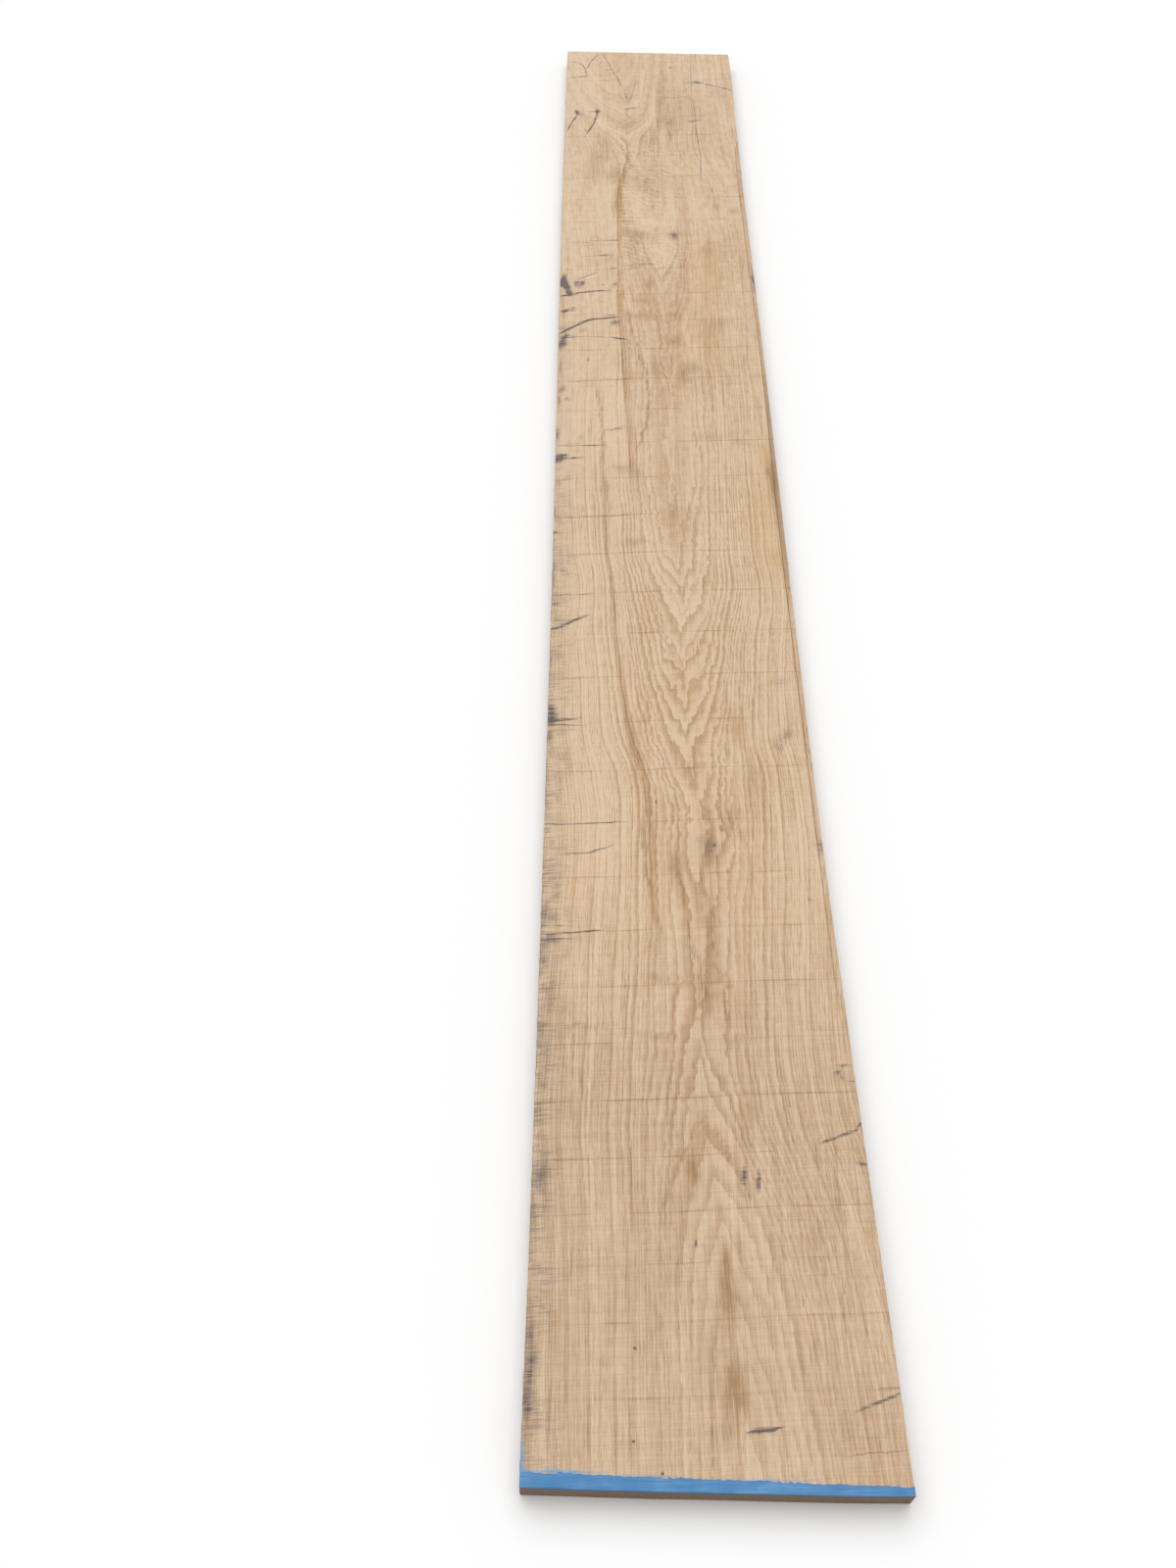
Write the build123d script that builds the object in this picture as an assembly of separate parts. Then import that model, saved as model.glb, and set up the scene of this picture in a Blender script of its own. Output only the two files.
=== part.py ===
from build123d import *

import os

# Rough sawn oak board, four quarter stock. +Y runs along it from the near end to the far end,
# +X is to the right and +Z up through the thickness. The origin lies under the middle of the
# board, on the floor that it rests on. Millimetres.

BOARD_LENGTH = 2438.0       # eight feet, along the middle line
BOARD_WIDTH = 301.0         # from corner to corner at either end
BOARD_THICKNESS = 25.4      # one inch, rough off the band saw

NEAR_END_SKEW = 4.2         # the near end's right corner stands out past its left corner by this
NEAR_END_CROWN = 0.9        # the near end bows out between its corners by this
FAR_END_SKEW = 12.0         # the far end's left corner stands out past its right corner by this

# How the sawn edges wander: the distance from the near end, then how far the edge lies inside
# the straight line between its corners. A negative value stands outside that line.
LEFT_EDGE_WANDER = [(130, 1.2), (420, 2.2), (760, 2.6), (1130, 1.9), (1560, -0.5), (2050, -1.7)]
RIGHT_EDGE_WANDER = [(120, 2.4), (300, 5.4), (620, 9.1), (1030, 8.6), (1500, 6.3), (1950, 5.8), (2270, 3.0)]

# The strip of wane along the upper right arris: the distance from the near end, its width and
# its depth. It grows out of the arris and runs back into it, at stations that the edge has too.
WANE = [(300, 0.6, 0.3), (620, 5.5, 2.2), (1030, 6.5, 2.6), (1500, 5.0, 2.0), (1950, 7.0, 2.6), (2270, 0.6, 0.3)]
WANE_OVERREACH = 4.0        # how far its cutter goes past the board's side and top

WORN_ARRIS = 1.6            # rounding of the upper left arris, worn by handling
SAWN_ARRIS = 0.5            # bevel of the lower arrises, where the saw's fuzz has rubbed off
FAR_CORNER_RADIUS = 3.0     # rounding of the far corners in plan

# The splinter knocked off the top of the near left corner, measured from that corner.
CHIP_ALONG_EDGE = 9.0
CHIP_ACROSS_END = 6.0
CHIP_DOWN = 11.0

half_length = BOARD_LENGTH / 2
half_width = BOARD_WIDTH / 2

near_left = Vector(-half_width, -half_length + NEAR_END_SKEW / 2)
near_middle = Vector(0, -half_length - NEAR_END_CROWN)
near_right = Vector(half_width, -half_length - NEAR_END_SKEW / 2)
far_right = Vector(half_width, half_length - FAR_END_SKEW / 2)
far_left = Vector(-half_width, half_length + FAR_END_SKEW / 2)


def edge_point(side, station, inset):
    """A point on a long edge in plan, where side is -1 for the left edge and 1 for the right."""
    return Vector(side * (half_width - inset), station - half_length)


def board_outline():
    """The plan of the board: two skewed ends and two sawn edges that wander."""
    right_points = [edge_point(1, station, inset) for station, inset in RIGHT_EDGE_WANDER]
    left_points = [edge_point(-1, station, inset) for station, inset in reversed(LEFT_EDGE_WANDER)]
    near_end = ThreePointArc(near_left, near_middle, near_right)
    right_edge = Spline(near_right, *right_points, far_right)
    far_end = Line(far_right, far_left)
    left_edge = Spline(far_left, *left_points, near_left)
    return make_face([near_end, right_edge, far_end, left_edge])


def long_arrises(board, side, top):
    """The long edges of one side, along the top face or along the underside."""
    long_edges = [edge for edge in board.edges() if edge.length > half_length]
    level = [edge for edge in long_edges if (edge.center().Z > BOARD_THICKNESS / 2) == top]
    return [edge for edge in level if edge.center().X * side > 0]


def ease_arrises(board):
    """Bevel the two lower arrises a little, and round the handled upper left one."""
    board = chamfer(long_arrises(board, 1, top=False) + long_arrises(board, -1, top=False), SAWN_ARRIS)
    return fillet(long_arrises(board, -1, top=True), WORN_ARRIS)


def round_far_corners(board):
    upright = board.edges().filter_by(Axis.Z)
    far_corners = [edge for edge in upright if edge.center().Y > 0]
    return fillet(far_corners, FAR_CORNER_RADIUS)


def wane_cutter():
    """A long wedge over the upper right arris, lofted through one triangle at each station."""
    edge_inset = dict(RIGHT_EDGE_WANDER)
    triangles = []
    for station, width, depth in WANE:
        arris = edge_point(1, station, edge_inset[station])
        inner = Vector(arris.X - width, arris.Y, BOARD_THICKNESS)
        outer_low = inner + Vector(1, 0, -depth / width) * (width + WANE_OVERREACH)
        outer_high = inner + Vector(width + WANE_OVERREACH, 0, WANE_OVERREACH)
        triangles.append(make_face(Polyline(inner, outer_low, outer_high, close=True)))
    return loft(triangles)


def chip_plane():
    """The oblique break left by the splinter, facing away from the board."""
    corner = Vector(near_left.X, near_left.Y, BOARD_THICKNESS)
    along = corner + Vector(0, CHIP_ALONG_EDGE, 0)
    across = corner + Vector(CHIP_ACROSS_END, 0, 0)
    down = corner + Vector(0, 0, -CHIP_DOWN)
    normal = (across - along).cross(down - along)
    if normal.dot(corner - along) < 0:
        normal = -normal
    return Plane(origin=along, z_dir=normal)


def oak_board():
    """The whole board, moved so that the middle of its underside is the origin."""
    board = extrude(board_outline(), BOARD_THICKNESS)
    board = ease_arrises(board)
    board = round_far_corners(board)
    board = board - wane_cutter()
    board = split(board, bisect_by=chip_plane(), keep=Keep.BOTTOM)
    box = board.bounding_box()
    return Pos(-box.center().X, -box.center().Y, -box.min.Z) * board


board = oak_board()
board.label = "oak_board"

os.makedirs("parts", exist_ok=True)
export_step(board, "parts/oak_board.step")

size = board.bounding_box().size
print(f"oak_board {size.X:.1f} x {size.Y:.1f} x {size.Z:.1f} mm, {board.volume / 1e6:.2f} litres")
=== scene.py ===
import math
import random
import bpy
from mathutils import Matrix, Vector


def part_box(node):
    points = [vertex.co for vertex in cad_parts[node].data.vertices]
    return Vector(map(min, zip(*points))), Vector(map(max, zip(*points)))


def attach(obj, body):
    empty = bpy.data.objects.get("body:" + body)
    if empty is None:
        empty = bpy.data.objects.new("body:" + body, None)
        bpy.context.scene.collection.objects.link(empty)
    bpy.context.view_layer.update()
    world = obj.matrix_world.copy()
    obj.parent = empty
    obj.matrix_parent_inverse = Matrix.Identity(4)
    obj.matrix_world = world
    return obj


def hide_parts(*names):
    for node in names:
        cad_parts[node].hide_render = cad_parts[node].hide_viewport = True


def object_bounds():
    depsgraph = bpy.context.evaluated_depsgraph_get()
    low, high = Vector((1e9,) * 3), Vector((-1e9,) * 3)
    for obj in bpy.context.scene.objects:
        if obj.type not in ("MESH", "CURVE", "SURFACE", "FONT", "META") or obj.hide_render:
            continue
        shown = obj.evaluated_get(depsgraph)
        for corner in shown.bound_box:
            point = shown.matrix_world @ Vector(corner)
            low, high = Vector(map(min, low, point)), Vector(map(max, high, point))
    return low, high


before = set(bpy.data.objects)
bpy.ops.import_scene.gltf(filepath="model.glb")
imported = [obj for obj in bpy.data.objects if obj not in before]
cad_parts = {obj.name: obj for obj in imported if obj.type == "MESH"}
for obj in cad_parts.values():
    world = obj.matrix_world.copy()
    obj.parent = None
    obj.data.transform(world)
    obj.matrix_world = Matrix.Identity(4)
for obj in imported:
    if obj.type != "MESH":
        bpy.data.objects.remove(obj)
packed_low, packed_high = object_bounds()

from types import SimpleNamespace

import bpy
import numpy as np
from mathutils import Vector, noise

# The board's own measures, in millimetres. Places on the board are given as
# (across, station): across from the middle, to the right, and station from the near end.
MM = 0.001
THICKNESS = 25.4
MIDDLE_ACROSS = 0.9         # where across 0 lies in the shared frame
NEAR_STATION = -1220.9      # where station 0 lies in the shared frame
LENGTH = 2440.0
SKIN = 0.22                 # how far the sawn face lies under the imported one, room for the coat
HANDLED_ARRIS = 1.6         # rounding of the upper left arris
SAWN_ARRIS = 0.5            # bevel of the lower arrises
FAR_CORNER = 3.0            # rounding of the far corners
CHIP = (9.0, 6.0, 11.0)     # broken near left corner: along the edge, across the end, downward
WANE = [
    (0, 0.6, 0.3), (300, 0.6, 0.3), (620, 5.5, 2.2), (1030, 6.5, 2.6), (1500, 5.0, 2.0), (1950, 7.0, 2.6),
    (2270, 0.6, 0.3), (2440, 0.6, 0.3),
]

# The camera. Its focal length is in pixels of a picture of this height.
PICTURE_HEIGHT = 1600
FOCAL_PIXELS = 1400.0
SENSOR_WIDTH = 36.0         # millimetres
CAMERA_PLACE = (-0.0954, -1.4525, 1.1714)
CAMERA_PITCH = math.radians(51.294)
CAMERA_YAW = math.radians(-0.3693)


def linear(text):
    """A screen colour written as RRGGBB, as the linear values that a socket takes."""
    parts = [int(text[i:i + 2], 16) / 255 for i in (0, 2, 4)]
    return tuple(p / 12.92 if p <= 0.04045 else ((p + 0.055) / 1.055) ** 2.4 for p in parts) + (1.0,)


def add(tree, kind, *values, **settings):
    """Adds a node. Values go to its inputs in order and settings to its properties or to inputs of
    that name; a node or socket is linked. A word after the kind is its operation, or how a
    MapRange goes from low to high. Stops fill a colour ramp, and points a curve."""
    word, _, operation = kind.partition(" ")
    prefix = next(p for p in ("ShaderNode", "GeometryNode", "FunctionNode") if hasattr(bpy.types, p + word))
    made = tree.nodes.new(prefix + word)
    if operation:
        setattr(made, "interpolation_type" if word == "MapRange" else "operation", operation)
    for place, colour in settings.pop("stops", []):
        ramp = made.color_ramp.elements
        stop = ramp[0] if place == 0 else ramp[-1] if place == 1 else ramp.new(place)
        stop.color = colour
    points = settings.pop("points", [])
    for i, (along, value) in enumerate(points):
        curve = made.mapping.curves[0].points
        point = curve[0] if i == 0 else curve[1] if i == 1 else curve.new(along, value)
        point.location = (along, value)
        point.handle_type = "AUTO_CLAMPED"
    if points:
        made.mapping.update()
    named = {}
    for name, value in settings.items():
        if hasattr(made, name):
            setattr(made, name, value)
        else:
            named[name.replace("_", " ")] = value
    shown = [s for s in made.inputs if s.enabled]
    wired = list(zip(shown, values))
    wired += [(next(s for s in shown if s.name == name), v) for name, v in named.items()]
    for socket, value in wired:
        if isinstance(value, bpy.types.Node):
            value = next(s for s in value.outputs if s.enabled)
        if isinstance(value, bpy.types.NodeSocket):
            tree.links.new(value, socket)
        else:
            socket.default_value = value
    return made


def new_material(name):
    """A material with an empty tree."""
    made = bpy.data.materials.new(name)
    made.use_nodes = True
    made.node_tree.nodes.clear()
    return made, made.node_tree


def new_object(name, mesh):
    made = bpy.data.objects.new(name, mesh)
    bpy.context.scene.collection.objects.link(made)
    return made


# The board's shape.

def line_through(points):
    """A function of the first value that goes through the points and straight on past the ends."""
    points = sorted(points)
    (a0, b0), (a1, b1) = points[0], points[1]
    (c0, d0), (c1, d1) = points[-2], points[-1]
    beyond = 50 * MM
    start = (a0 - beyond, b0 - beyond * (b1 - b0) / (a1 - a0))
    end = (c1 + beyond, d1 + beyond * (d1 - d0) / (c1 - c0))
    table = np.array([start] + points + [end])
    return lambda value: np.interp(value, table[:, 0], table[:, 1])


def packed_outline():
    """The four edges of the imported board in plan, as functions: left, right, near and far."""
    low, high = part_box("oak_board")
    corners = np.array([v.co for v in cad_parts["oak_board"].data.vertices])
    # The sides are read where the lower bevels end, and the ends on the underside.
    level = corners[np.abs(corners[:, 2] - SAWN_ARRIS * MM) < 2e-5]
    underside = corners[corners[:, 2] < 1e-5]
    clear = (FAR_CORNER + 1) * MM
    sides = level[(np.abs(level[:, 0]) > 0.1) & (level[:, 1] < high.y - 12 * MM - clear)]
    left = line_through({(y, x) for x, y, _ in sides.round(6) if x < 0})
    right = line_through({(y, x) for x, y, _ in sides.round(6) if x > 0})
    lowest = underside.round(6)
    near = line_through({(x, y) for x, y, _ in lowest if y < low.y + 8 * MM and abs(x) < 0.1502})
    beyond = sorted({(x, y) for x, y, _ in lowest if y > high.y - 14 * MM})
    far = line_through([max(p for p in beyond if p[0] < 0), min(p for p in beyond if p[0] > 0)])
    return left, right, near, far


left_edge, right_edge, near_end, far_end = packed_outline()
TOP_CELLS, UNDER_CELLS, SIDE_CELLS = 90, 30, 5


def section(left, right, wane_width, wane_depth):
    """The board's section as (x, z) points, clockwise from the worn upper left arris."""
    top = (THICKNESS - SKIN) * MM
    worn = HANDLED_ARRIS * MM
    bevel = SAWN_ARRIS * MM
    skin = SKIN * MM * 0.5
    left, right = left + skin, right - skin
    loop = []
    for degrees in (0, 30, 60):
        a = math.radians(degrees)
        loop.append((left + worn * (1 - math.cos(a)), top - worn * (1 - math.sin(a))))
    inner_left, inner_right = left + worn, right - wane_width * MM
    loop += [(inner_left + (inner_right - inner_left) * i / TOP_CELLS, top) for i in range(TOP_CELLS + 1)]
    low = top - wane_depth * MM
    loop.append((inner_right + (right - inner_right) * 0.55, top - (top - low) * 0.42))
    loop += [(right, low + (bevel - low) * i / SIDE_CELLS) for i in range(SIDE_CELLS + 1)]
    under = left - right + 2 * bevel
    loop += [(right - bevel + under * i / UNDER_CELLS, 0.0) for i in range(UNDER_CELLS + 1)]
    high = top - worn
    loop += [(left, bevel + (high - bevel) * i / SIDE_CELLS) for i in range(SIDE_CELLS)]
    return loop


def rounded_far_corner(x, y):
    """Pulls a point in the square of a far corner onto its rounding."""
    for side, edge in ((-1, left_edge), (1, right_edge)):
        radius = FAR_CORNER * MM
        end = far_end(side * 0.15)
        centre = Vector((edge(end) - side * radius, end - radius))
        off = Vector((x, y)) - centre
        if off.x * side > 0 and off.y > 0 and off.length > radius:
            off = off.normalized() * radius
            return centre.x + off.x, centre.y + off.y
    return x, y


def chipped(point, corner):
    """Moves a point that lies past the oblique break of the near left corner back onto it."""
    along, across, down = (value * MM for value in CHIP)
    outward = Vector((-1 / across, -1 / along, 1 / down))
    past = outward.dot(point - corner) + 1
    return point - outward * (past / outward.length_squared) if past > 0 else point


def board_mesh():
    """One closed skin: sections along the board, stitched row to row, with a grid on each end."""
    stations = [i * 2.0 for i in range(15)] + list(np.linspace(30, LENGTH, 605))
    wane_stations, wane_widths, wane_depths = zip(*WANE)
    verts, faces, rows = [], [], []
    for station in stations:
        share = station / LENGTH
        y = (NEAR_STATION + station) * MM
        width = np.interp(station, wane_stations, wane_widths)
        depth = np.interp(station, wane_stations, wane_depths)
        loop = section(float(left_edge(y)), float(right_edge(y)), width, depth)
        row = []
        for x, z in loop:
            start, end = float(near_end(x)) + SKIN * MM, float(far_end(x)) - SKIN * MM
            place = start + (end - start) * share
            x, place = rounded_far_corner(x, place)
            row.append(len(verts))
            verts.append((x, place, z))
        rows.append(row)
    around = len(rows[0])
    for a, b in zip(rows, rows[1:]):
        faces += [(a[i], a[(i + 1) % around], b[(i + 1) % around], b[i]) for i in range(around)]
    top_count = 3 + TOP_CELLS + 1 + 1
    for row, turned in ((rows[0], True), (rows[-1], False)):
        faces += end_faces(verts, row, top_count, turned)
    corner = Vector((float(left_edge(NEAR_STATION * MM)), float(near_end(-0.15)), THICKNESS * MM))
    reach = 20 * MM
    for i, (x, y, z) in enumerate(verts):
        if x < corner.x + reach and y < corner.y + reach:
            verts[i] = tuple(chipped(Vector((x, y, z)), corner))
    mesh = bpy.data.meshes.new("oak_board_sawn")
    mesh.from_pydata(verts, [], faces)
    mesh.validate()
    arris = np.zeros(len(verts), dtype=np.float32)
    under = top_count + SIDE_CELLS
    beyond_under = under + 1 + UNDER_CELLS
    on_arris = [0, 1, 2, 3, top_count - 2, top_count - 1, top_count]
    on_arris += [under, under + 1, beyond_under, beyond_under + 1]
    for row in rows:
        arris[[row[i] for i in on_arris]] = 1.0
    arris[rows[0]] = arris[rows[-1]] = 0.2
    mesh.attributes.new("arris", "FLOAT", "POINT").data.foreach_set("value", arris)
    return mesh


def end_faces(verts, row, top_count, turned):
    """The faces of one end, in rows from the top arris down to the underside."""
    # From the top row to the side's own points, level by level, then to the coarser underside.
    top = row[:top_count] + [row[top_count]]
    right_side = row[top_count:top_count + SIDE_CELLS + 1]
    under = row[top_count + SIDE_CELLS + 1:top_count + SIDE_CELLS + UNDER_CELLS + 2]
    left_side = row[top_count + SIDE_CELLS + UNDER_CELLS + 2:][::-1]
    made = []
    levels = [top]
    for k in range(1, SIDE_CELLS):
        a, b = left_side[k - 1], right_side[k]
        share = k / SIDE_CELLS
        level = [a]
        for i in range(1, len(top) - 1):
            x, y, z = verts[top[i]]
            level.append(len(verts))
            verts.append((x, y, z * (1 - share) + SAWN_ARRIS * MM * share))
        levels.append(level + [b])
    for upper, lower in zip(levels, levels[1:]):
        made += [(upper[i], upper[i + 1], lower[i + 1], lower[i]) for i in range(len(upper) - 1)]
    last, below = levels[-1], [left_side[-1]] + under[::-1] + [right_side[-1]]
    # The lowest row has more points than the underside, so its faces take several at a time.
    cuts = [round(i * (len(last) - 1) / (len(below) - 1)) for i in range(len(below))]
    for i in range(len(below) - 1):
        made.append(tuple(last[cuts[i]:cuts[i + 1] + 1]) + (below[i + 1], below[i]))
    return made if not turned else [face[::-1] for face in made]


# What the saw left, made by Geometry Nodes.

def group(name, *inputs):
    """A geometry tree with a geometry in and out, and the named inputs with their values."""
    tree = bpy.data.node_groups.new(name, "GeometryNodeTree")
    tree.interface.new_socket("Geometry", in_out="INPUT", socket_type="NodeSocketGeometry")
    tree.interface.new_socket("Geometry", in_out="OUTPUT", socket_type="NodeSocketGeometry")
    for label, kind, value in inputs:
        socket = tree.interface.new_socket(label, in_out="INPUT", socket_type="NodeSocket" + kind)
        if value is not None:
            socket.default_value = value
    return tree, tree.nodes.new("NodeGroupInput"), tree.nodes.new("NodeGroupOutput")


def grown(obj, tree, values):
    """Runs the tree on the object with the given inputs, and keeps the mesh that comes out."""
    made = obj.modifiers.new(tree.name, "NODES")
    made.node_group = tree
    names = {item.name: item.identifier for item in tree.interface.items_tree if item.in_out == "INPUT"}
    for name, value in values.items():
        made[names[name]] = value
    graph = bpy.context.evaluated_depsgraph_get()
    graph.update()
    mesh = bpy.data.meshes.new_from_object(obj.evaluated_get(graph))
    obj.modifiers.remove(made)
    return mesh


def sawn_relief():
    """Ridges that the saw left across every face, and the roughness of torn grain, cut inward."""
    tree, given, out = group(
        "sawn_relief", ("Ridge pitch", "Float", 0.017), ("Ridge depth", "Float", 0.00022),
        ("Torn depth", "Float", 0.00025), ("Slant", "Float", 0.05), ("Material", "Material", None))
    take = given.outputs
    place = add(tree, "InputPosition")
    parts = add(tree, "SeparateXYZ", place)
    across = add(tree, "Math MULTIPLY", parts.outputs["X"], take["Slant"])
    along = add(tree, "Math SUBTRACT", parts.outputs["Y"], across)
    wander = add(tree, "TexNoise", place, Scale=9.0, Detail=1.0)
    turns = add(tree, "Math DIVIDE", along, take["Ridge pitch"])
    turns = add(tree, "Math ADD", turns, add(tree, "Math MULTIPLY", wander, 2.2))
    wave = add(tree, "Math SINE", add(tree, "Math MULTIPLY", turns, math.tau))
    ridge = add(tree, "Math MULTIPLY", add(tree, "Math MULTIPLY_ADD", wave, 0.5, 0.5), take["Ridge depth"])
    stretched = add(tree, "VectorMath MULTIPLY", place, (160.0, 40.0, 160.0))
    torn = add(tree, "TexNoise", stretched, Scale=1.0, Detail=3.0)
    torn = add(tree, "Math MULTIPLY", torn, take["Torn depth"])
    depth = add(tree, "Math ADD", ridge, torn)
    depth = add(tree, "Math MULTIPLY", depth, -1.0)
    inward = add(tree, "VectorMath SCALE", add(tree, "InputNormal"), depth)
    moved = add(tree, "SetPosition", given.outputs["Geometry"], Offset=inward)
    clothed = add(tree, "SetMaterial", moved, Material=take["Material"])
    tree.links.new(clothed.outputs[0], out.inputs[0])
    return tree


def torn_fibres():
    """Slivers of torn fibre that lie along the arrises, where the saw came out of the wood."""
    tree, given, out = group(
        "torn_fibres", ("Per square metre", "Float", 42000.0), ("Sliver length", "Float", 0.006),
        ("Seed", "Int", 5), ("Low corner", "Vector", None), ("High corner", "Vector", None),
        ("Material", "Material", None))
    take = given.outputs
    arris = add(tree, "InputNamedAttribute", "arris", data_type="FLOAT")
    crowd = add(tree, "Math MULTIPLY", arris, take["Per square metre"])
    spots = add(tree, "DistributePointsOnFaces", given.outputs["Geometry"], Density=crowd,
                Seed=take["Seed"])
    sliver = add(tree, "MeshCone", Vertices=5, Side_Segments=2, Radius_Top=0.03 * MM,
                 Radius_Bottom=0.14 * MM, Depth=take["Sliver length"])
    lie = add(tree, "RandomValue", data_type="FLOAT_VECTOR", Min=(-1.66, -0.1, -0.16),
              Max=(-1.46, 0.1, 0.16), Seed=take["Seed"])
    size = add(tree, "RandomValue", data_type="FLOAT_VECTOR", Min=(0.6, 0.6, 0.4),
               Max=(1.3, 1.3, 1.9), Seed=take["Seed"])
    laid = add(tree, "InstanceOnPoints", spots.outputs["Points"], Instance=sliver, Rotation=lie, Scale=size)
    real = add(tree, "RealizeInstances", laid)
    inside = add(tree, "VectorMath MINIMUM", add(tree, "InputPosition"), take["High corner"])
    inside = add(tree, "VectorMath MAXIMUM", inside, take["Low corner"])
    kept = add(tree, "SetPosition", real, Position=inside)
    clothed = add(tree, "SetMaterial", kept, Material=take["Material"])
    tree.links.new(clothed.outputs[0], out.inputs[0])
    return tree


# The oak.

RING_PITCH = 1.95           # slow-grown rings, two millimetres apart
YEARS_GRAIN = 6.5           # over this much growth, rings get broader or narrower
SPELLS_GRAIN = 8.0          # over this much growth, the wood gets darker or lighter
DARK_RING = 155.4           # radius of a ring of a bad year, darker and broader than the others
CURL_PITCH = 12             # from ripple to ripple by the far knot
# Where the saw was fed on, counted in strokes from the near end; each left a line across.
SAW_LINES = [(0, 0.3), (62, 1), (262, 5), (498, 9), (772, 13), (1050, 17), (1340, 21), (2440, 36.7)]
SAW_SLANT = 0.048           # the lines rise to the right by this share of the way across

# How the oak changes along the board: the lowest and the highest value, then points as (station,
# value). The pith runs under the board, and where it comes nearer, the rings close into points
# and arches. The heart line parts the light wood of the left edge from the browner heart.
ALONG = {
    "pith across": (-80, 40, [
        (0, 30), (110, 25), (200, 18), (260, 10), (330, 3), (420, 5), (520, 10), (620, 15), (700, 13),
        (770, 5), (900, 6), (985, 11), (1060, 6), (1250, 4), (1450, 8), (1650, 5), (1900, -8), (2060, -38),
        (2200, -52), (2330, -66), (2440, -76),
    ]),
    "pith depth": (60, 150, [
        (0, 133), (110, 136), (220, 140.5), (330, 146), (460, 148), (600, 147), (1060, 127.5),
        (1140, 125.5), (1300, 124.5), (1500, 124), (1600, 121), (1850, 112), (1960, 111), (2030, 118),
        (2090, 116), (2160, 108), (2240, 97), (2330, 84), (2440, 70),
    ]),
    "point": (0, 1.5, [(0, 1.2), (340, 1.3), (430, 0.4), (600, 0.4), (680, 1.5), (2440, 1.5)]),
    "wave": (0, 5, [(0, 3.0), (350, 3.5), (640, 5.0), (2440, 5.0)]),
    "kink": (0, 3, [
        (0, 0.35), (300, 0.5), (360, 0.3), (580, 0.4), (680, 2.0), (1100, 1.9), (1250, 1.0), (1750, 1.0),
        (1880, 2.6), (2040, 2.2), (2140, 0.9), (2440, 0.5),
    ]),
    "figure": (0, 1.3, [
        (0, 0.46), (200, 0.5), (330, 0.8), (500, 0.88), (700, 1.14), (1100, 1.14), (1250, 0.85),
        (1500, 0.65), (1780, 0.6), (1860, 0.36), (2010, 0.36), (2080, 0.75), (2160, 0.6), (2220, 0.3),
        (2440, 0.3),
    ]),
    "streak": (0, 1, [(0, 0.56), (1600, 0.52), (1850, 0.38), (2440, 0.38)]),
    "cloud": (0, 1, [(0, 0.2), (1000, 0.15), (1400, 0.4), (1850, 0.55), (2440, 0.5)]),
    "curl": (0, 1, [(0, 0), (1640, 0), (1700, 0.5), (1850, 1), (2040, 1), (2110, 0), (2440, 0)]),
    "dark ring": (0, 1, [(0, 0), (470, 0), (600, 0.85), (950, 0.9), (1200, 0.7), (1420, 0.1), (2440, 0)]),
    "heart line across": (-110, 0, [
        (0, -50), (1120, -46), (1200, -50), (1300, -53), (1400, -57), (1500, -60), (1600, -64), (1750, -63),
        (1880, -63), (1950, -60), (2000, -52), (2080, -45), (2110, -57), (2180, -78), (2440, -100),
    ]),
    "heart line": (0, 1, [
        (0, 0), (1130, 0), (1220, 0.8), (1330, 1.0), (1580, 1.0), (1650, 0.85), (1850, 0.95), (2080, 0.9),
        (2130, 0.3), (2440, 0),
    ]),
    "outer wood": (0, 1, [(0, 0), (1050, 0), (1350, 1), (2440, 1)]),
    "flank": (0, 1, [(0, 0.0), (350, 0.3), (600, 1), (2440, 1)]),
    "left flank": (0, 1, [(0, 0), (450, 0.1), (650, 1), (1300, 1), (1500, 0.3), (2440, 0.3)]),
    "tone": (0, 1, [
        (0, 0.275), (300, 0.245), (700, 0.09), (1200, 0.10), (1500, 0.205), (1900, 0.19), (2440, 0.17),
    ]),
    "far panel": (0, 1, [(0, 0), (2120, 0), (2170, 0.9), (2320, 0.8), (2380, 0.15), (2440, 0.1)]),
    "warmth": (0, 1, [(0, 0.06), (350, 0.08), (600, 0.19), (1000, 0.15), (1500, 0.12), (2440, 0.09)]),
    "wane line across": (130, 155, [
        (0, 152), (380, 139), (450, 136.5), (620, 135.6), (1030, 135.2), (1500, 138.8), (1950, 137),
        (2060, 139), (2200, 152), (2440, 152),
    ]),
    "wane line": (0, 1, [(0, 0), (400, 0.2), (620, 0.6), (1300, 0.75), (2050, 0.45), (2150, 0)]),
    "wane": (0, 1, [
        (0, 0), (500, 0.1), (980, 0.2), (1015, 0.42), (1380, 0.5), (1480, 0.22), (2100, 0.25), (2440, 0),
    ]),
    "weathered strip": (0, 1, [
        (0, 0.8), (300, 1.0), (1180, 0.8), (1300, 0.3), (1700, 0.3), (1800, 0.12), (2440, 0.12),
    ]),
}

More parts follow.
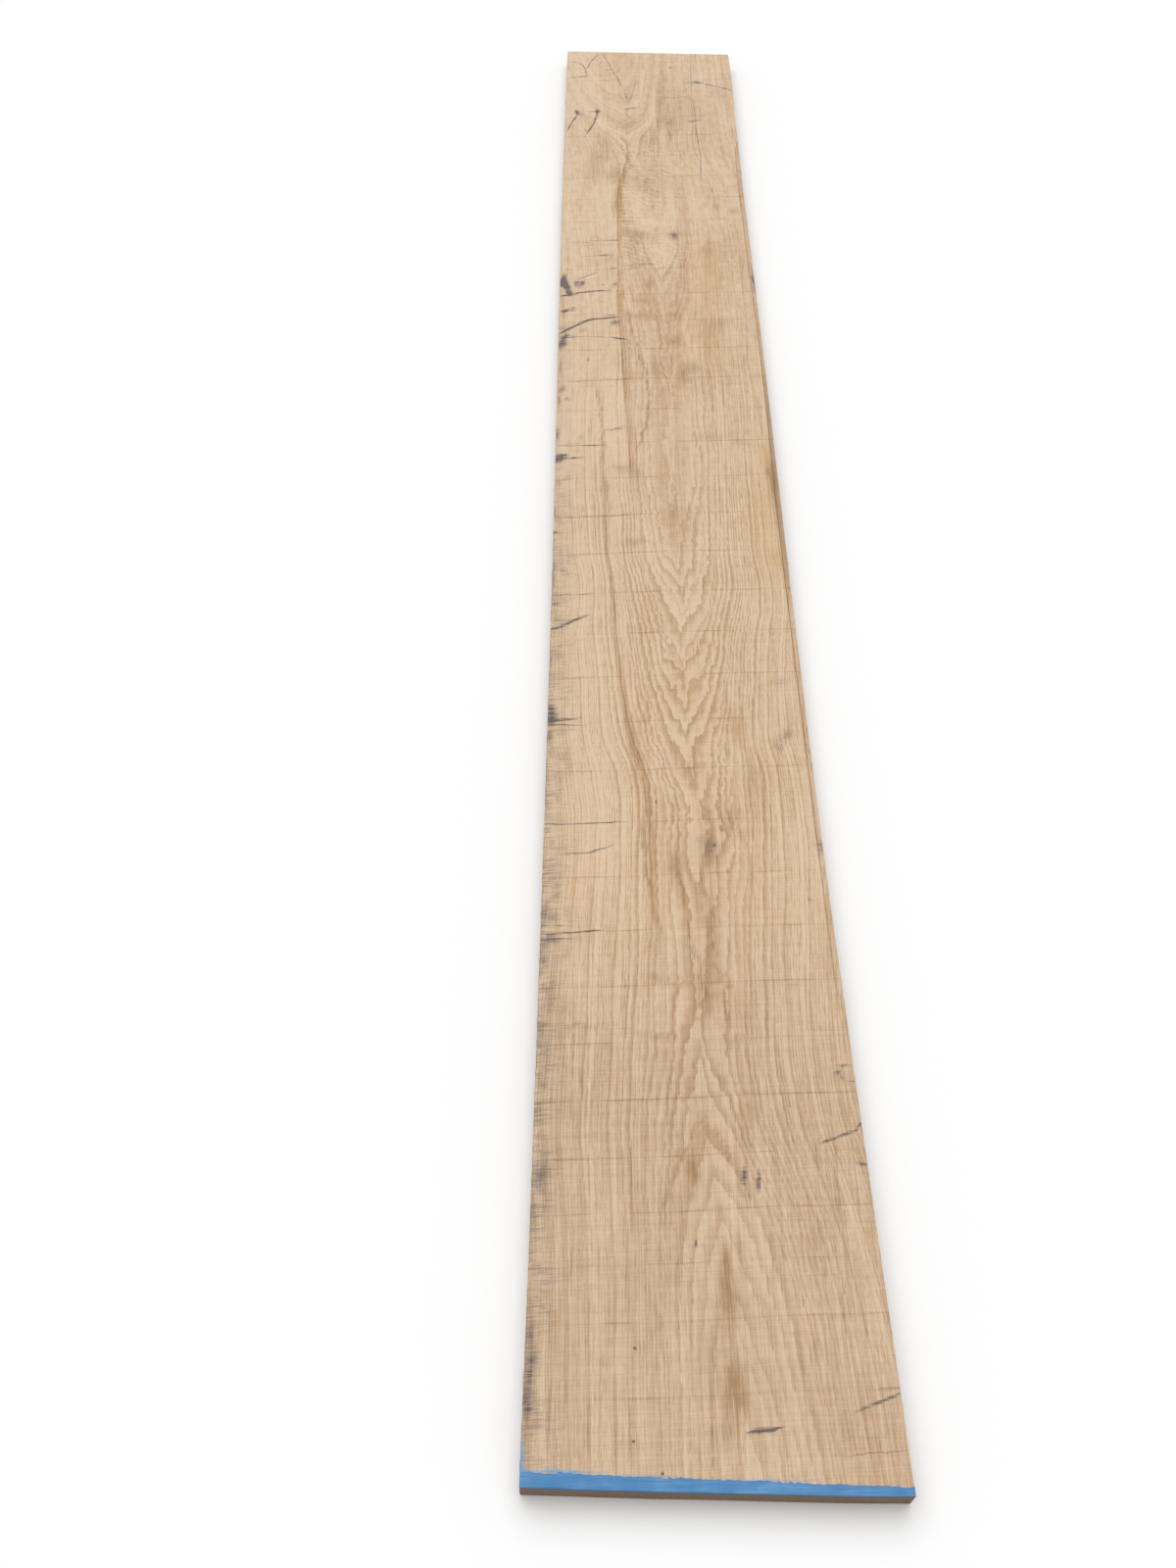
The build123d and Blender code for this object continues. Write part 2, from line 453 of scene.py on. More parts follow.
# Grain, each a noise: the size of its grains across, along and through the board in millimetres,
# its finer layers, and a shift that keeps it apart from the others.
GRAIN = {
    "streak": (1.3, 75, 1.3, 2.0, 1.3),
    "hair": (0.7, 34, 0.7, 1.0, 4.9),
    "wide streak": (4.5, 210, 4.5, 1.0, 5.9),
    "drift": (110, 320, 110, 1.0, 0.0),
    "wave": (30, 105, 30, 1.0, 3.1),
    "kink": (7.5, 17, 7.5, 2.0, 7.7),
    "vessel": (9, 420, 9, 1.0, 2.6),
    "broken vessel": (8, 60, 8, 1.0, 3.7),
    "pore": (0.55, 11, 0.55, 1.0, 9.1),
    "saw wander": (90, 900, 90, 0.0, 2.2),
    "faded saw line": (45, 30, 45, 2.0, 4.4),
    "patchy": (45, 120, 45, 3.0, 6.1),
    "cloud": (9, 16, 9, 3.0, 8.3),
    "curl": (36, 44, 36, 2.0, 9.9),
    "strip edge": (60, 24, 60, 2.0, 7.2),
    "group of teeth": (14, 22, 14, 2.0, 5.2),
    "end speck": (0.9, 0.9, 0.9, 2.0, 2.9),
}
# The same for scratches that follow the saw's lines: across, along, finer layers, shift.
SCRATCHES = {
    "fine": (32, 1.5, 2.0, 3.3),
    "coarse": (70, 5.0, 1.0, 8.8),
    "teeth": (18, 1.2, 2.0, 1.7),
    "over iron": (14, 1.3, 2.0, 5.5),
    "over sealer": (20, 1.2, 1.0, 6.6),
}

# Marks on the face. Patches: across, station, half their size both ways, turn, strength.
IRON_PATCHES = [
    (-147, 60, 3, 9, 0, 0.4), (-145, 88, 4, 24, 0, 0.42), (-145, 120, 3, 8, 0, 0.3),
    (-140, 251, 8, 13, 0, 0.3), (-146, 216, 4, 14, 0, 0.22), (-146, 390, 4, 9, 0, 0.22),
    (-142, 337, 5, 5, 0, 0.2), (-142, 518, 9, 9, 0, 0.4), (-138, 490, 11, 5, 0, 0.28),
    (-144, 470, 6, 14, 0, 0.2), (-145, 786, 6, 12, 10, 0.72), (-139, 778, 9, 2.2, 8, 0.6),
    (-146, 755, 3, 9, 0, 0.3), (-147, 690, 2, 26, 0, 0.22), (-147, 870, 3, 14, 0, 0.25),
    (-145, 960, 6, 4, 0, 0.3), (-148, 1010, 3, 30, 0, 0.25), (-147, 1092, 4, 2, 0, 0.6),
    (-148, 1130, 2, 9, 0, 0.4), (-144, 1238, 8, 7, 12, 0.85), (-141, 1246, 9, 2.5, 0, 0.5),
    (-147, 1290, 3, 12, 0, 0.4), (-117, 1285, 5, 6, 0, 0.16), (-121, 1256, 4, 4, 0, 0.2),
    (-71, 1301, 12, 2.6, 14, 0.34), (-66, 1303, 6, 2.4, 0, 0.24), (-134, 1366, 5, 3, -12, 0.45),
    (-143, 1390, 4, 9, -20, 0.3), (-146, 1365, 2, 9, 0, 0.3), (-146, 1445, 2, 16, 0, 0.35),
    (-107, 1461, 2, 4, 0, 0.35), (-107, 1484, 9, 1.2, 0, 0.22), (-144, 1503, 5, 17, -14, 0.7),
    (-138, 1520, 9, 4, 0, 0.4), (-143, 1538, 6, 3, 0, 0.3), (-116, 1532, 7, 3, 30, 0.25),
    (-69, 1554, 6, 5, 30, 0.42), (-142, 1584, 7, 5, 20, 0.85), (-129, 1590, 3.9, 3.9, 0, 0.6),
    (-146, 1665, 4, 14, 0, 0.8), (-142, 1650, 5.5, 17, 14, 1.0), (-137, 1632, 4.5, 6, 0, 0.7),
    (-127, 1656, 3.5, 8, 12, 0.5), (-118, 1656, 4, 8, -8, 0.5), (-121, 1662, 8, 2, 0, 0.35),
    (-86, 1655, 3, 2, 0, 0.3), (-69, 1656, 2.6, 4, -20, 0.5), (-82, 1737, 8, 2.2, 4, 0.34),
    (-70, 1701, 7, 1.8, 8, 0.4), (-73, 1730, 2, 12, -20, 0.2), (23, 604, 8, 14, 0, 0.22),
    (29, 606, 2, 3, 0, 0.4), (114, 757, 5, 15, -20, 0.22), (105, 740, 4, 13, 15, 0.2),
    (116, 838, 10, 6, 30, 0.18), (139, 607, 5, 9, 0, 0.36), (129, 350, 4, 3, 40, 0.4),
    (134, 357, 6, 1.4, 0, 0.3), (132, 345, 1.4, 5, 20, 0.3), (142, 341, 5, 1.2, 0, 0.3),
    (141, 262, 6, 2, -12, 0.4), (37, 251, 2.5, 9, -6, 0.5), (49, 246, 2.3, 10, -6, 0.5),
    (38, 44, 9, 2.2, 6, 0.5), (25, 1796, 3.5, 13, 0, 0.42), (25, 1797, 8, 4, 0, 0.22),
    (75, 2173, 9, 4, 0, 0.34), (68, 2171, 4, 2, 0, 0.3), (93, 1936, 1.4, 8, 0, 0.45),
    (86, 2319, 9, 3.4, 8, 0.68), (38, 2378, 2.2, 3.5, 0, 0.45), (145, 1665, 4, 26, 0, 0.72),
    (146, 1905, 2, 14, 0, 0.3), (-8, 190, 1.1, 3, 0, 0.8), (-61, 105, 1.1, 1.1, 0, 0.85),
    (-63, 36, 1.1, 1.1, 0, 0.85), (-41, 12.6, 1.2, 1.2, 0, 0.9), (-30, 663, 1.0, 2.4, 0, 0.7),
    (121, 540, 0.8, 2, 0, 0.7), (-102, 2207, 8, 2.4, 8, 0.36), (-94, 2206, 3, 7, 10, 0.55),
    (-131, 2203, 4, 7, 20, 0.5), (-122, 2196, 5, 6, 0, 0.2), (-74, 2368, 6, 1.4, 8, 0.5),
    (-122, 2341, 7, 2, 6, 0.5), (-42, 2216, 4, 3, 0, 0.34), (-43, 2262, 8, 22, 0, 0.14),
]
# Streaks: strength, width, then the points that they run through.
IRON_STREAKS = [
    (0.62, 1.5, (-150, 497), (-112, 499), (-88, 503)), (0.42, 1.2, (-150, 507), (-118, 507)),
    (0.36, 1.2, (-150, 492), (-115, 492)), (0.5, 1.8, (-126, 595), (-103, 596), (-80, 604)),
    (0.45, 1.3, (-150, 633), (-122, 633), (-60, 637)), (0.5, 1.8, (-131, 781), (-118, 779)),
    (0.5, 1.5, (-140, 776), (-112, 781)), (0.55, 1.3, (-150, 770), (-110, 771)),
    (0.4, 1.2, (-144, 763), (-118, 764)), (0.25, 1.2, (-150, 840), (-100, 842)),
    (0.55, 2.6, (-150, 919), (-136, 924), (-122, 934), (-106, 943)),
    (0.42, 1.2, (-150, 978), (-125, 979), (-98, 980)), (0.3, 1.2, (-150, 1048), (-60, 1054)),
    (0.4, 1.3, (-150, 1119), (-104, 1121), (-50, 1126)), (0.4, 1.2, (-150, 1192), (-130, 1195)),
    (0.66, 2.2, (-138, 1239), (-115, 1240)), (0.52, 1.4, (-150, 1265), (-118, 1266), (-86, 1267)),
    (0.36, 1.3, (-142, 1408), (-90, 1412), (-30, 1417)),
    (0.4, 1.4, (-150, 1514), (-110, 1519), (-62, 1515), (-50, 1512)), (0.5, 2.4, (-72, 1516), (-54, 1511)),
    (0.75, 3.0, (-147, 1527), (-138, 1535), (-124, 1547), (-112, 1557), (-102, 1562), (-84, 1565),
     (-66, 1568)),
    (0.4, 1.6, (-84, 1572), (-66, 1574)),
    (0.7, 2.6, (-150, 1622), (-134, 1627), (-118, 1633), (-98, 1637), (-78, 1638)),
    (0.4, 2.0, (-122, 1671), (-110, 1678), (-97, 1688)), (0.42, 1.8, (-103, 1779), (-84, 1780)),
    (0.5, 2.4, (-82, 1780), (-62, 1781)), (0.3, 1.4, (-120, 1733), (-76, 1738)),
    (0.25, 1.3, (-130, 1705), (-100, 1707)), (0.3, 1.2, (-145, 1774), (-100, 1775)),
    (0.42, 1.8, (107, 281), (122, 287), (138, 293), (147, 303)),
    (0.42, 1.8, (113, 59), (128, 64), (134, 66)), (0.55, 1.8, (134, 67), (149, 72)),
    (0.62, 1.3, (27, 43), (40, 43.5), (53, 46)), (0.3, 0.9, (104, 26), (122, 28.5), (148, 30)),
    (0.5, 2.0, (86, 2319), (98, 2314), (120, 2302), (146, 2289)), (0.36, 1.4, (60, 2318), (82, 2319)),
    (0.45, 1.2, (78, 1965), (78, 2060), (76, 2160)), (0.36, 1.1, (76, 2160), (75, 2250), (75, 2435)),
    (0.35, 1.6, (28, 2140), (32, 2100)), (0.5, 1.4, (-147, 2334), (-134, 2338), (-119, 2342)),
    (0.5, 1.5, (-142, 2400), (-131, 2397), (-123, 2387), (-118, 2372), (-115, 2342)),
    (0.5, 1.4, (-115, 2372), (-108, 2400), (-100, 2420), (-93, 2432)),
    (0.46, 1.3, (-87, 2438), (-80, 2412), (-71, 2376), (-62, 2345), (-56, 2325)),
    (0.34, 1.2, (-58, 2330), (-48, 2290), (-40, 2240)), (0.34, 1.2, (-25, 2335), (-30, 2290), (-39, 2238)),
    (0.55, 1.8, (-48, 2214), (-38, 2219), (-25, 2221)), (0.36, 1.3, (-48, 2206), (-36, 2177)),
    (0.68, 2.0, (-134, 2212), (-130, 2196), (-140, 2166), (-147, 2138)),
    (0.75, 2.4, (-96, 2212), (-96, 2196), (-102, 2162), (-112, 2130)),
    (0.5, 1.6, (-112, 2132), (-118, 2142)),
]
BROWN_PATCHES = [
    (-37, 446, 9, 6, 0, 0.34), (-38, 452, 4, 10, 0, 0.3), (-35, 387, 20, 3, 0, 0.3),
    (-40, 480, 8, 2, 0, 0.25), (-104, 395, 22, 2.5, 0, 0.3), (36, 442, 3, 3, 0, 0.5),
    (-50, 1212, 16, 9, -20, 0.24), (-62, 1222, 22, 5, 10, 0.2), (-38, 1195, 6, 24, 0, 0.2),
    (-48, 1075, 14, 7, 0, 0.35), (-27, 1073, 10, 2, 0, 0.3), (12, 1115, 20, 30, 0, 0.18),
    (30, 1432, 9, 26, -10, 0.42), (45, 1440, 7, 12, -20, 0.32), (-11, 1435, 7, 26, 0, 0.3),
    (18, 1506, 11, 9, 0, 0.45), (-28, 1572, 24, 7, 0, 0.3), (18, 1572, 9, 7, 0, 0.35),
    (-26, 1612, 12, 9, -25, 0.35), (-14, 1662, 7, 15, 0, 0.45), (-20, 1712, 14, 3, 8, 0.4),
    (-30, 1795, 26, 16, -20, 0.4), (25, 1800, 18, 12, 0, 0.3), (80, 1750, 9, 22, 0, 0.25),
    (-12, 1965, 30, 40, 0, 0.2), (-94, 2040, 16, 80, -8, 0.3), (-76, 1985, 22, 24, 0, 0.2),
    (-54, 1985, 9, 30, 0, 0.36), (-62, 1890, 8, 40, 0, 0.34), (30, 2170, 12, 14, 0, 0.2),
    (60, 2220, 40, 60, 0, 0.14), (-10, 575, 7, 34, 0, 0.3), (22, 596, 9, 26, 0, 0.42),
    (20, 520, 5, 34, -3, 0.3), (10, 445, 8, 40, -14, 0.25), (47, 640, 7, 20, -10, 0.3),
    (17, 152, 4.5, 34, 0, 0.85), (20, 74, 8, 26, -6, 0.6), (8, 40, 14, 8, 0, 0.3),
    (-8, 255, 6, 16, 20, 0.5), (42, 300, 8, 26, -8, 0.3), (-53, 740, 5, 50, 5, 0.3),
    (65, 770, 10, 30, 0, 0.2), (75, 690, 12, 40, 0, 0.2), (134, 1200, 7, 30, 0, 0.45),
    (133, 1190, 5, 90, 0, 0.3), (60, 1285, 22, 8, 0, 0.25), (96, 1275, 12, 8, 0, 0.25),
    (88, 1555, 12, 16, -40, 0.2), (70, 1530, 10, 20, -35, 0.16), (128, 2290, 16, 40, 0, 0.14),
    (125, 1865, 9, 9, 0, 0.2), (97, 1880, 6, 10, 0, 0.22),
]
# Darker rings that run their own way: strength, width, then the points that they run through.
BROWN_STREAKS = [
    (0.62, 2.4, (-45, 655), (-42, 580), (-35, 530), (-30, 480)),
    (0.5, 2.2, (14, 575), (19, 525), (22, 475), (29, 430), (33, 380)),
    (0.42, 2.2, (-13, 590), (-8, 560), (-3, 515), (8, 450), (18, 405)),
    (0.36, 2.2, (50, 645), (63, 600), (66, 540)), (0.36, 2.2, (-27, 360), (-18, 425), (-10, 450)),
    (0.42, 2.2, (1, 302), (15, 285), (30, 255), (40, 215)),
    (0.42, 2.2, (1, 302), (-13, 275), (-27, 245), (-38, 205)),
    (0.36, 2.2, (-38, 205), (-40, 150), (-42, 90)),
    (0.5, 2.4, (-93, 1400), (-87, 1300), (-84, 1225), (-77, 1119)),
    (0.66, 2.2, (-50, 1580), (-38, 1500), (-26, 1430), (-21, 1375), (-24, 1325), (-39, 1262)),
    (0.36, 2.2, (35, 1300), (47, 1225), (42, 1137)), (0.36, 2.2, (61, 1437), (65, 1375), (68, 1300)),
]
TAN_PATCHES = [
    (120, 1120, 22, 110, 0, 0.3), (128, 1245, 10, 30, 0, 0.5), (128, 1045, 8, 18, 0, 0.6),
    (75, 1690, 28, 110, 0, 0.34), (60, 1500, 40, 80, 0, 0.2), (62, 760, 8, 20, 0, 0.3),
    (20, 1940, 60, 60, 0, 0.16),
]
# Sealer that was brushed past the end, thin enough to see the wood through.
SEALER_SMEARS = [
    (-148.8, 22, 1.7, 14, 0, 0.55), (-120, 13.6, 26, 1.6, -2, 0.45), (-60, 11, 30, 1.2, -2, 0.3),
    (30, 8.4, 40, 1.0, -2, 0.3), (-146, 12.5, 4, 4, 0, 0.4),
]

# Colours from light to dark: early wood within a ring, the sawn face, the wane and the dried wax.
EARLY_WOOD = [
    (0, linear("404040")), (0.06, linear("ffffff")), (0.30, linear("e0e0e0")), (0.62, linear("707070")),
    (1, linear("000000")),
]
SAWN_OAK = [
    (0, linear("e4cdb2")), (0.25, linear("d7bc9f")), (0.55, linear("bfa081")), (1, linear("937457")),
]
WANE_TONES = [
    (0, linear("c8a47c")), (0.39, linear("c8a47c")), (0.43, linear("94704f")), (0.55, linear("94704f")),
    (0.60, linear("b08a64")), (1, linear("b08a64")),
]
DRIED_WAX = [
    (0, linear("2a67a9")), (0.42, linear("3f7ab0")), (0.62, linear("508abb")), (0.85, linear("76a3c6")),
    (1, linear("98b6cb")),
]
# The heart line's dark core, and the softer band on its right: where each begins and ends on its
# left and on its right, in millimetres from the line, and how dark it gets.
HEART_BANDS = [(-1.4, 0.2, 3.2, 1.0, 1.0), (-1.0, 1.0, 16.0, 1.0, 0.55)]
ANGLE_STEP = 4              # degrees, between the turned frames that small patches share
PATCH_REACH = 1.5           # a patch fades out at this many times its half size
PATCH_GAIN = 2.2            # and it is this many times its strength in its middle
FINEST_PAINTED = 2.6        # a patch of iron with a smaller half width is too fine for the vertices


def streak_patches(streaks):
    """The same list for streaks: each stretch between two points is a long oval."""
    made = []
    for strength, width, *through in streaks:
        for (x0, s0), (x1, s1) in zip(through, through[1:]):
            half_long = math.hypot(x1 - x0, s1 - s0) * 0.45 + width
            turned = math.degrees(math.atan2(s1 - s0, x1 - x0))
            made.append(((x0 + x1) / 2, (s0 + s1) / 2, half_long, width * 0.75, turned, strength))
    return made


def fine(patches):
    """The patches too small for the board's own mesh to carry."""
    return [p for p in patches if min(p[2], p[3]) < FINEST_PAINTED]


def paint_patches(mesh):
    """Lays the larger patches on the board's vertices, their outlines a little uneven."""
    co = np.empty(len(mesh.vertices) * 3)
    mesh.vertices.foreach_get("co", co)
    co = co.reshape(-1, 3) / MM
    across, station = co[:, 0] - MIDDLE_ACROSS, co[:, 1] - NEAR_STATION
    upper = np.clip((co[:, 2] - 12) / 10, 0, 1)
    places = zip(across, station, co[:, 2])
    uneven = np.array([noise.noise_vector(Vector((a / 9, s / 14, z / 9))) for a, s, z in places])
    across, station = across + uneven[:, 0] * 3.5, station + uneven[:, 1] * 6
    browns = BROWN_PATCHES + streak_patches(BROWN_STREAKS)
    for name, patches in (("iron", IRON_PATCHES), ("brown", browns), ("tan", TAN_PATCHES)):
        total = np.zeros(len(co))
        for x, s, half_across, half_along, turned, strength in patches:
            if name == "iron" and min(half_across, half_along) < FINEST_PAINTED:
                continue
            turn = math.radians(turned)
            a = (across - x) * math.cos(turn) + (station - s) * math.sin(turn)
            b = (station - s) * math.cos(turn) - (across - x) * math.sin(turn)
            far = np.hypot(a / (half_across * PATCH_REACH), b / (half_along * PATCH_REACH))
            total += np.clip(1 - far, 0, 1) * strength * PATCH_GAIN
        painted = mesh.attributes.new(name, "FLOAT", "POINT").data
        painted.foreach_set("value", (total * upper).astype(np.float32))


def oak_places(tree):
    """Where a point lies on the board in millimetres, and the two finest grains of its fibres."""
    wood = SimpleNamespace()
    wood.place = add(tree, "VectorMath SCALE", add(tree, "TexCoord").outputs["Object"], 1 / MM)
    parts = add(tree, "SeparateXYZ", wood.place)
    wood.across = add(tree, "Math SUBTRACT", parts.outputs["X"], MIDDLE_ACROSS)
    wood.station = add(tree, "Math SUBTRACT", parts.outputs["Y"], NEAR_STATION)
    wood.height = add(tree, "Math SUBTRACT", parts.outputs["Z"], THICKNESS)
    wood.share = add(tree, "Math DIVIDE", wood.station, LENGTH)
    wood.streak = mottle(tree, wood, "streak")
    wood.hair = mottle(tree, wood, "hair")
    return wood


def follow(tree, wood, name):
    """A value that changes along the board as its line in ALONG says."""
    low, high, points = ALONG[name]
    shape = [(s / LENGTH, (v - low) / (high - low)) for s, v in points]
    curve = add(tree, "FloatCurve", 1.0, wood.share, points=shape)
    return add(tree, "MapRange", curve, 0.0, 1.0, low, high)


def mottle(tree, wood, name):
    """Noise about zero, with grains of the sizes that its line in GRAIN gives."""
    across, along, through, detail, shift = GRAIN[name]
    scale = (1 / across, 1 / along, 1 / through)
    scaled = add(tree, "VectorMath MULTIPLY_ADD", wood.place, scale, (shift, shift * 1.7, shift * 0.6))
    return add(tree, "Math SUBTRACT", add(tree, "TexNoise", scaled, Scale=1.0, Detail=detail), 0.5)


def scratch(tree, wood, name):
    """Noise about zero that lies along the saw's lines, from its line in SCRATCHES."""
    across, along, detail, shift = SCRATCHES[name]
    scale = (1 / across, 1 / along, 0.05)
    scaled = add(tree, "VectorMath MULTIPLY_ADD", wood.along_saw, scale, (shift, shift, shift))
    return add(tree, "Math SUBTRACT", add(tree, "TexNoise", scaled, Scale=1.0, Detail=detail), 0.5)


def grow_rings(tree, wood):
    """Rings round the pith, with slow waves, and the short kinks that make flames of them."""
    drift = add(tree, "Math MULTIPLY", mottle(tree, wood, "drift"), 16.0)
    from_pith = add(tree, "Math SUBTRACT", wood.across, follow(tree, wood, "pith across"))
    off_pith = add(tree, "Math ADD", from_pith, drift)
    wood.away = add(tree, "Math ABSOLUTE", off_pith)
    below = add(tree, "Math ADD", follow(tree, wood, "pith depth"), wood.height)
    wood.radius = add(tree, "VectorMath LENGTH", add(tree, "CombineXYZ", off_pith, below, 0.0))

    # Right over the pith the rings come to a point.
    bend = add(tree, "Math TANH", add(tree, "Math DIVIDE", wood.away, 8.0))
    point = add(tree, "Math MULTIPLY", bend, follow(tree, wood, "point"))
    wood.wave = add(tree, "Math MULTIPLY", mottle(tree, wood, "wave"), follow(tree, wood, "wave"))
    kink = add(tree, "Math MULTIPLY", mottle(tree, wood, "kink"), follow(tree, wood, "kink"))
    near_pith = add(tree, "MapRange SMOOTHSTEP", wood.away, 72, 28, 0.3, 1.0)
    wood.kink = add(tree, "Math MULTIPLY", kink, near_pith)
    grown_out = add(tree, "Math ADD", wood.radius, point)
    grown_out = add(tree, "Math ADD", grown_out, add(tree, "Math ADD", wood.wave, wood.kink))
    frayed = add(tree, "MapRange SMOOTHSTEP", wood.away, 4, 40, 0.5, 1.5)
    grown_out = add(tree, "Math MULTIPLY_ADD", wood.hair, frayed, grown_out)

    # Good years and bad ones: the rings aren't equally broad, nor their early wood equally open.
    years = add(tree, "Math DIVIDE", grown_out, YEARS_GRAIN)
    uneven = add(tree, "TexNoise", years, Scale=1.0, Detail=1.0, noise_dimensions="1D")
    count = add(tree, "Math MULTIPLY_ADD", uneven, 2.4, add(tree, "Math DIVIDE", grown_out, RING_PITCH))
    year = add(tree, "TexWhiteNoise", add(tree, "Math FLOOR", count), noise_dimensions="1D")
    early = add(tree, "ValToRGB", add(tree, "Math FRACT", count), stops=EARLY_WOOD)
    open_year = add(tree, "Math MULTIPLY_ADD", year.outputs["Value"], 0.5, 0.5)
    wood.early = add(tree, "Math MULTIPLY", early.outputs["Color"], open_year)
    spells = add(tree, "Math DIVIDE", grown_out, SPELLS_GRAIN)
    spells = add(tree, "TexNoise", spells, Scale=1.0, Detail=1.0, noise_dimensions="1D")
    wood.broad = add(tree, "Math SUBTRACT", spells, 0.5)


def open_vessels(tree, wood):
    """Open pores, and the cut vessels that show as crisp dark lines down the straight flanks."""
    line = add(tree, "Math ABSOLUTE", mottle(tree, wood, "vessel"))
    line = add(tree, "MapRange SMOOTHSTEP", line, 0.022, 0.004)
    broken = add(tree, "MapRange SMOOTHSTEP", mottle(tree, wood, "broken vessel"), -0.05, 0.15)
    line = add(tree, "Math MULTIPLY", line, broken)
    wood.on_flank = add(tree, "MapRange SMOOTHSTEP", wood.away, 40, 75)
    wood.vessel = add(tree, "Math MULTIPLY", line, wood.on_flank)
    wood.open_pore = add(tree, "MapRange SMOOTHSTEP", mottle(tree, wood, "pore"), 0.10, 0.24)
    crowded = add(tree, "Math MULTIPLY_ADD", wood.early, 0.8, 0.25)
    wood.pore = add(tree, "Math MULTIPLY", wood.open_pore, crowded)


def dark_lines(tree, wood):
    """The dark ring, and the line where the light outer wood meets the heart."""
    kinked = add(tree, "Math MULTIPLY_ADD", wood.wave, 0.35, add(tree, "Math MULTIPLY", wood.kink, 0.8))
    off_ring = add(tree, "Math SUBTRACT", add(tree, "Math ADD", wood.radius, kinked), DARK_RING)
    ring = add(tree, "MapRange SMOOTHSTEP", add(tree, "Math ABSOLUTE", off_ring), 2.6, 0.3)
    ring = add(tree, "Math MULTIPLY", ring, add(tree, "MapRange SMOOTHSTEP", wood.across, -15, -30))
    ring = add(tree, "Math MULTIPLY", ring, follow(tree, wood, "dark ring"))

    from_line = add(tree, "Math SUBTRACT", wood.across, follow(tree, wood, "heart line across"))
    wood.from_line = add(tree, "Math ADD", from_line, add(tree, "Math MULTIPLY", wood.kink, 1.2))
    bands = []
    for left, inner_left, right, inner_right, darkest in HEART_BANDS:
        rising = add(tree, "MapRange SMOOTHSTEP", wood.from_line, left, inner_left)
        falling = add(tree, "MapRange SMOOTHSTEP", wood.from_line, right, inner_right, 0.0, darkest)
        bands.append(add(tree, "Math MINIMUM", rising, falling))
    line = add(tree, "Math MAXIMUM", *bands)
    line = add(tree, "Math MULTIPLY", line, follow(tree, wood, "heart line"))
    wood.dark_line = add(tree, "Math MAXIMUM", ring, line)


def saw_lines(tree, wood):
    """The lines that the saw left across the board, one at each stroke."""
    rise = add(tree, "Math MULTIPLY", add(tree, "Math ADD", wood.across, 150.0), SAW_SLANT)
    wander = add(tree, "Math MULTIPLY", mottle(tree, wood, "saw wander"), 3.0)
    slanted = add(tree, "Math ADD", add(tree, "Math SUBTRACT", wood.station, rise), wander)
    wood.along_saw = add(tree, "CombineXYZ", wood.across, slanted, wood.height)

    most = 40.0
    turn = [(s / LENGTH, n / most) for s, n in SAW_LINES]
    strokes = add(tree, "FloatCurve", 1.0, add(tree, "Math DIVIDE", slanted, LENGTH), points=turn)
    strokes = add(tree, "Math MULTIPLY", strokes, most)
    within = add(tree, "Math FRACT", add(tree, "Math ADD", strokes, 0.5))
    beside = add(tree, "Math ABSOLUTE", add(tree, "Math SUBTRACT", within, 0.5))
    line = add(tree, "MapRange SMOOTHSTEP", beside, 0.022, 0.004)
    faded = add(tree, "MapRange SMOOTHSTEP", mottle(tree, wood, "faded saw line"), -0.12, 0.18, 0.15, 1.0)
    wood.saw_line = add(tree, "Math MULTIPLY", line, faded)
    wood.fine_scratch = scratch(tree, wood, "fine")


def far_curl(tree, wood):
    """Curl by the far knot: light ripples across the board, a regular way apart."""
    bent = add(tree, "Math MULTIPLY_ADD", wood.across, 0.35, wood.station)
    bent = add(tree, "Math MULTIPLY_ADD", mottle(tree, wood, "curl"), 62.0, bent)
    ripple = add(tree, "Math SINE", add(tree, "Math MULTIPLY", bent, math.tau / CURL_PITCH))
    ripple = add(tree, "MapRange SMOOTHSTEP", ripple, -0.3, 1.0)
    curl = add(tree, "Math MULTIPLY", ripple, follow(tree, wood, "curl"))
    left = add(tree, "MapRange SMOOTHSTEP", wood.across, -66, -50)
    right = add(tree, "MapRange SMOOTHSTEP", wood.across, 70, 0)
    return add(tree, "Math MULTIPLY", curl, add(tree, "Math MINIMUM", left, right))


def lighter_places(tree, wood):
    """Where the wood is lighter or browner as a whole: each place with its weight in the shade."""
    outer = add(tree, "MapRange SMOOTHSTEP", wood.from_line, 3, -3)
    outer = add(tree, "Math MULTIPLY", outer, follow(tree, wood, "outer wood"))
    flank = add(tree, "Math MULTIPLY", wood.on_flank, follow(tree, wood, "flank"))
    left_flank = add(tree, "MapRange SMOOTHSTEP", wood.across, -45, -72)
    left_flank = add(tree, "Math MULTIPLY", left_flank, follow(tree, wood, "left flank"))
    far_panel = add(tree, "MapRange SMOOTHSTEP", wood.across, 6.5, 9.5)
    far_panel = add(tree, "Math MULTIPLY", far_panel, add(tree, "MapRange SMOOTHSTEP", wood.across, 62, 14))
    far_panel = add(tree, "Math MULTIPLY", far_panel, follow(tree, wood, "far panel"))
    tone = follow(tree, wood, "tone")
    return [(outer, -0.09), (flank, -0.055), (left_flank, -0.085), (tone, 1.0), (far_panel, 0.20)]


